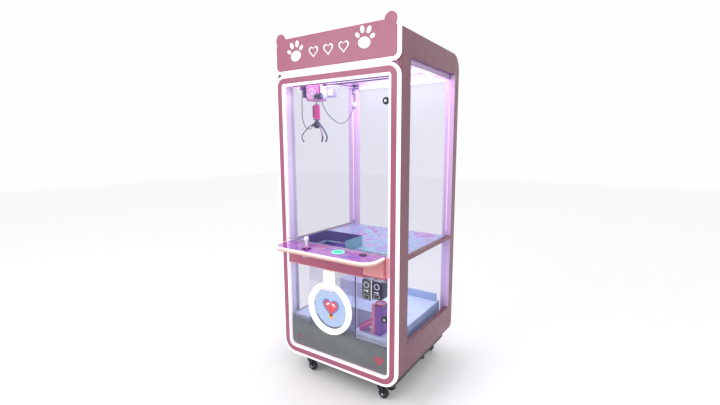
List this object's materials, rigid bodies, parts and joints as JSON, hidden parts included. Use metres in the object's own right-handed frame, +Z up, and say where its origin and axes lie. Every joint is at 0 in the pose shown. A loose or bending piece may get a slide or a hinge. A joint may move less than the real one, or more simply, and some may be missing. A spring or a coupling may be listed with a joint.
{
  "type": "claw crane machine",
  "caption": "Upright claw crane cabinet with glazed sides, a lit hinged front, control deck, round prize door, and a claw on a trolley and bridge.",
  "frame": {"origin": "on the floor, under the middle of the machine's overall box", "axes": "+Z up, the front and its control deck face -Y, +X to the player's right"},
  "size_m": [0.7994, 0.903, 2],
  "materials": {
    "pink_paint": "satin powder coat",
    "light_strip": "lit silicone tube",
    "clear_glass": "polished",
    "smoked_acrylic": "polished smoked acrylic",
    "white_panel": "satin",
    "violet_deck": "gloss printed acrylic",
    "lilac_frame": "satin",
    "magenta_coil": "gloss",
    "chrome_metal": "polished",
    "zinc_steel": "zinc plated",
    "black_plastic": "satin",
    "castor_rubber": "matt",
    "teal_button": "lit translucent cap",
    "flap_acrylic": "polished translucent acrylic"
  },
  "bodies": {
    "cabinet": {"left_side_panel": "pink_paint", "right_side_panel": "pink_paint", "left_glass": "clear_glass", "right_glass": "clear_glass", "base_frame": "zinc_steel", "base_platform": "white_panel", "control_box": "black_plastic", "power_inlet": "black_plastic", "roof_box": "pink_paint", "header_panel": "pink_paint", "header_light": "light_strip", "rear_frame": "lilac_frame", "rear_glass": "clear_glass", "playfield": "white_panel", "chute_fence": "smoked_acrylic", "prize_chute": "clear_glass", "coin_box": "magenta_coil", "rail_left": "zinc_steel", "rail_right": "zinc_steel", "post_cable": "black_plastic", "foot_front_left": "black_plastic", "foot_front_right": "black_plastic", "foot_rear_left": "black_plastic", "foot_rear_right": "black_plastic"},
    "front_door": {"front_bezel": "pink_paint", "bezel_outer_light": "light_strip", "bezel_inner_light": "light_strip", "front_upper_glass": "clear_glass", "front_lower_glass": "clear_glass", "control_deck": "violet_deck", "deck_light": "light_strip", "front_apron": "pink_paint", "prize_door_ring": "light_strip"},
    "front_lock": {"front_lock": "black_plastic"},
    "joystick_base": {"joystick_gimbal": "zinc_steel"},
    "joystick": {"joystick_stick": "white_panel"},
    "drop_button": {"drop_button": "teal_button"},
    "small_button": {"small_button": "black_plastic"},
    "prize_flap": {"prize_flap": "flap_acrylic"},
    "coin_door": {"coin_door": "clear_glass", "coin_mech_left": "black_plastic", "coin_mech_right": "black_plastic"},
    "coin_lock": {"coin_lock": "black_plastic"},
    "bridge": {"bridge_frame": "lilac_frame", "trolley_cable": "black_plastic"},
    "trolley": {"trolley": "magenta_coil", "hoist_cord": "black_plastic", "claw_cable": "black_plastic"},
    "claw": {"claw_body": "magenta_coil"},
    "finger_1": {"claw_finger_1": "chrome_metal"},
    "finger_2": {"claw_finger_2": "chrome_metal"},
    "finger_3": {"claw_finger_3": "chrome_metal"},
    "castor_front_left": {"castor_fork_front_left": "zinc_steel"},
    "wheel_front_left": {"castor_wheel_front_left": "castor_rubber"},
    "castor_front_right": {"castor_fork_front_right": "zinc_steel"},
    "wheel_front_right": {"castor_wheel_front_right": "castor_rubber"},
    "castor_rear_left": {"castor_fork_rear_left": "zinc_steel"},
    "wheel_rear_left": {"castor_wheel_rear_left": "castor_rubber"},
    "castor_rear_right": {"castor_fork_rear_right": "zinc_steel"},
    "wheel_rear_right": {"castor_wheel_rear_right": "castor_rubber"}
  },
  "joints": [
    {"name": "front_door_hinge", "type": "hinge", "parent": "cabinet", "child": "front_door", "pos_m": [-0.4, -0.2925, 1], "axis": [0, 0, -1], "range_deg": [0, 105]},
    {"name": "front_lock_turn", "type": "hinge", "parent": "front_door", "child": "front_lock", "pos_m": [0.3225, -0.2935, 1.59], "axis": [0, -1, 0], "range_deg": [0, 90]},
    {"name": "joystick_fore_aft", "type": "hinge", "parent": "front_door", "child": "joystick_base", "pos_m": [-0.11, -0.3975, 0.79], "axis": [1, 0, 0], "range_deg": [-14, 14], "stiffness_Nm_per_rad": 0.3},
    {"name": "joystick_side", "type": "hinge", "parent": "joystick_base", "child": "joystick", "pos_m": [-0.11, -0.3975, 0.79], "axis": [0, 1, 0], "range_deg": [-14, 14], "stiffness_Nm_per_rad": 0.3},
    {"name": "drop_button_press", "type": "slide", "parent": "front_door", "child": "drop_button", "axis": [0, 0, -1], "range_m": [0, 0.003], "stiffness_N_per_m": 500, "springref_m": -0.002},
    {"name": "small_button_press", "type": "slide", "parent": "front_door", "child": "small_button", "axis": [0, 0, -1], "range_m": [0, 0.002], "stiffness_N_per_m": 500, "springref_m": -0.002},
    {"name": "prize_flap_swing", "type": "hinge", "parent": "front_door", "child": "prize_flap", "pos_m": [-0.033, -0.291, 0.56], "axis": [1, 0, 0], "range_deg": [0, 70]},
    {"name": "coin_door_hinge", "type": "hinge", "parent": "front_door", "child": "coin_door", "pos_m": [0.144, -0.2935, 0.5195], "axis": [0, 0, -1], "range_deg": [0, 100]},
    {"name": "coin_lock_turn", "type": "hinge", "parent": "coin_door", "child": "coin_lock", "pos_m": [0.3225, -0.2935, 0.492], "axis": [0, -1, 0], "range_deg": [0, 90]},
    {"name": "bridge_travel", "type": "slide", "parent": "cabinet", "child": "bridge", "axis": [0, 1, 0], "range_m": [0, 0.48], "deforming": ["post_cable"]},
    {"name": "trolley_travel", "type": "slide", "parent": "bridge", "child": "trolley", "axis": [1, 0, 0], "range_m": [-0.03, 0.42], "deforming": ["trolley_cable"]},
    {"name": "hoist_travel", "type": "slide", "parent": "trolley", "child": "claw", "axis": [0, 0, -1], "range_m": [0, 0.53], "deforming": ["hoist_cord", "claw_cable"]},
    {"name": "finger_1_close", "type": "hinge", "parent": "claw", "child": "finger_1", "pos_m": [-0.181, -0.1845, 1.495], "axis": [-1, 0, 0], "range_deg": [0, 36], "stiffness_Nm_per_rad": 0.03, "springref_deg": -57.3},
    {"name": "finger_2_close", "type": "hinge", "parent": "claw", "child": "finger_2", "pos_m": [-0.20178, -0.2205, 1.495], "axis": [0.5, -0.866, 0], "range_deg": [0, 36], "stiffness_Nm_per_rad": 0.03, "springref_deg": -57.3},
    {"name": "finger_3_close", "type": "hinge", "parent": "claw", "child": "finger_3", "pos_m": [-0.16022, -0.2205, 1.495], "axis": [0.5, 0.866, 0], "range_deg": [0, 36], "stiffness_Nm_per_rad": 0.03, "springref_deg": -57.3},
    {"name": "castor_front_left_swivel", "type": "hinge", "parent": "cabinet", "child": "castor_front_left", "pos_m": [-0.255, -0.2325, 0.107], "axis": [0, 0, 1], "continuous": true},
    {"name": "wheel_front_left_roll", "type": "hinge", "parent": "castor_front_left", "child": "wheel_front_left", "pos_m": [-0.229, -0.2325, 0.0305], "axis": [0, 1, 0], "continuous": true},
    {"name": "castor_front_right_swivel", "type": "hinge", "parent": "cabinet", "child": "castor_front_right", "pos_m": [0.255, -0.2325, 0.107], "axis": [0, 0, 1], "continuous": true},
    {"name": "wheel_front_right_roll", "type": "hinge", "parent": "castor_front_right", "child": "wheel_front_right", "pos_m": [0.281, -0.2325, 0.0305], "axis": [0, 1, 0], "continuous": true},
    {"name": "castor_rear_left_swivel", "type": "hinge", "parent": "cabinet", "child": "castor_rear_left", "pos_m": [-0.255, 0.3745, 0.107], "axis": [0, 0, 1], "continuous": true},
    {"name": "wheel_rear_left_roll", "type": "hinge", "parent": "castor_rear_left", "child": "wheel_rear_left", "pos_m": [-0.229, 0.3745, 0.0305], "axis": [0, 1, 0], "continuous": true},
    {"name": "castor_rear_right_swivel", "type": "hinge", "parent": "cabinet", "child": "castor_rear_right", "pos_m": [0.255, 0.3745, 0.107], "axis": [0, 0, 1], "continuous": true},
    {"name": "wheel_rear_right_roll", "type": "hinge", "parent": "castor_rear_right", "child": "wheel_rear_right", "pos_m": [0.281, 0.3745, 0.0305], "axis": [0, 1, 0], "continuous": true}
  ],
  "couplings": [
    {"joint": "finger_2_close", "follows": "finger_1_close", "ratio": 1},
    {"joint": "finger_3_close", "follows": "finger_1_close", "ratio": 1}
  ]
}
